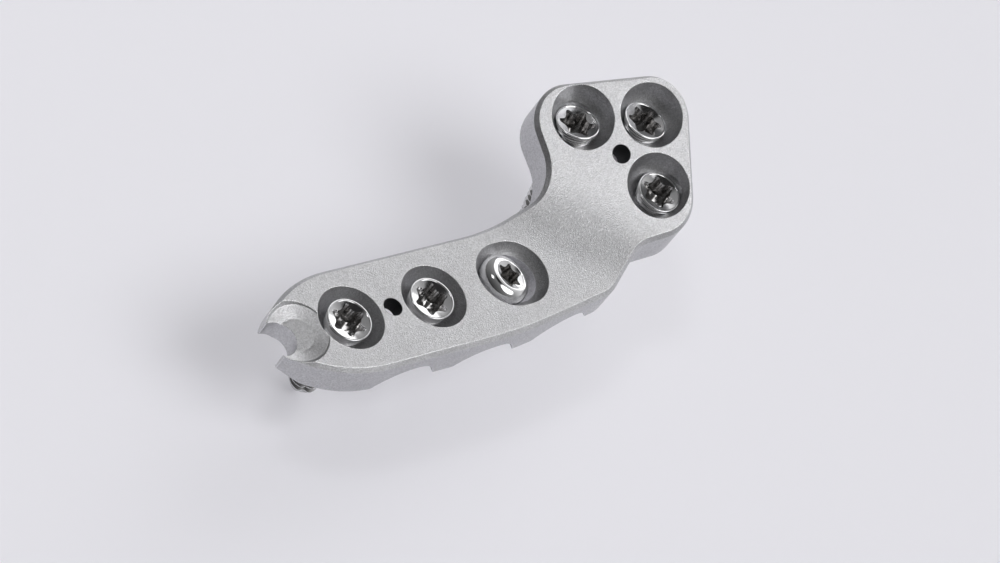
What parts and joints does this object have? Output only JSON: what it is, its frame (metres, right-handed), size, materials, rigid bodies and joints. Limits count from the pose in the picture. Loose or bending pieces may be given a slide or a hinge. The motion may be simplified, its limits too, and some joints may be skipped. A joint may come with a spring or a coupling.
{
  "type": "locking bone plate with screws",
  "caption": "Small bent bone plate with a widened, tilted head and a notched tip, fixed by six-lobe screws that sit in ball-shaped bowls; scalloped underside and guide-wire holes.",
  "frame": {"origin": "centre of the upper mouth of the guide-wire hole in the shaft, on the flat top face", "axes": "+Z out of the shaft's flat top face along that hole, +X along the shaft towards the tilted head, +Y across the plate towards the side that the head leans to"},
  "size_m": [0.0599, 0.0252, 0.022],
  "materials": {
    "plate_steel": "satin, finely blasted",
    "screw_steel": "polished"
  },
  "bodies": {
    "root": {"bone_plate": "plate_steel", "head_screw_1": "screw_steel", "head_screw_2": "screw_steel", "head_screw_3": "screw_steel", "shaft_screw_1": "screw_steel", "shaft_screw_2": "screw_steel", "compression_screw": "screw_steel"}
  },
  "joints": []
}
